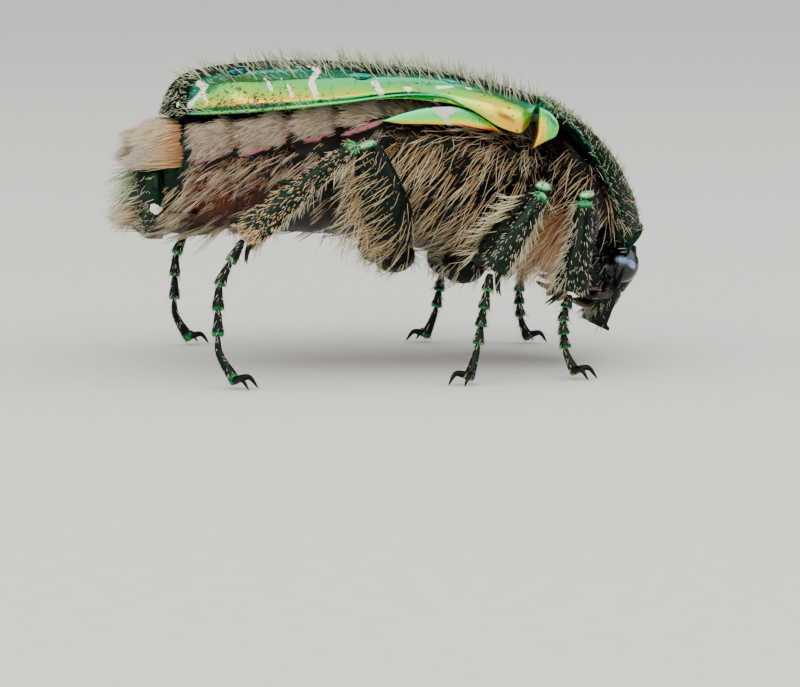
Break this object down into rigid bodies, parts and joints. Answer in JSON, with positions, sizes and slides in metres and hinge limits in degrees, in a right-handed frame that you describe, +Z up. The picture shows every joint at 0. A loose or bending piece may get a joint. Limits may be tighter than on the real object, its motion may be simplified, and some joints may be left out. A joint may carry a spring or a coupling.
{
  "type": "rose chafer",
  "caption": "Life-size still model of a rose chafer, a broad metallic green beetle, standing on its feet with its front end bent down.",
  "frame": {"origin": "centre of the bounding box on the floor that the six feet stand on", "axes": "+X towards the head, +Y towards the beetle's left, +Z up"},
  "size_m": [0.016, 0.0132, 0.0096],
  "materials": {
    "elytra": "glossy metallic green, gold at the lower side, cream marks",
    "scutellum": "glossy metallic dark green with pits",
    "pronotum": "dark metallic green, densely pitted",
    "head": "near-black metallic green",
    "side_plates": "metallic green to gold",
    "underside": "black-green cuticle under long golden hair",
    "abdomen": "red-brown to black cuticle under pale combed hair",
    "pygidium": "dark green cuticle with pale hair",
    "eyes": "glossy black faceted eye",
    "feelers": "black-brown",
    "legs": "black-green metallic with pale bristles"
  },
  "bodies": {
    "root": {"abdomen": "abdomen", "antenna_left": "feelers", "antenna_right": "feelers", "elytron_left": "elytra", "elytron_right": "elytra", "eye_left": "eyes", "eye_right": "eyes", "front_left_coxa": "legs", "front_left_femur": "legs", "front_left_tarsus": "legs", "front_left_tibia": "legs", "front_right_coxa": "legs", "front_right_femur": "legs", "front_right_tarsus": "legs", "front_right_tibia": "legs", "head": "head", "hind_left_coxa": "legs", "hind_left_femur": "legs", "hind_left_tarsus": "legs", "hind_left_tibia": "legs", "hind_right_coxa": "legs", "hind_right_femur": "legs", "hind_right_tarsus": "legs", "hind_right_tibia": "legs", "last_sternite": "abdomen", "mesepimeron_left": "side_plates", "mesepimeron_right": "side_plates", "metepisternum_left": "side_plates", "metepisternum_right": "side_plates", "middle_left_coxa": "legs", "middle_left_femur": "legs", "middle_left_tarsus": "legs", "middle_left_tibia": "legs", "middle_right_coxa": "legs", "middle_right_femur": "legs", "middle_right_tarsus": "legs", "middle_right_tibia": "legs", "palp_left": "feelers", "palp_right": "feelers", "pronotum": "pronotum", "propygidium": "pygidium", "prosternum": "underside", "pygidium": "pygidium", "scutellum": "scutellum", "thorax": "underside"}
  },
  "joints": []
}
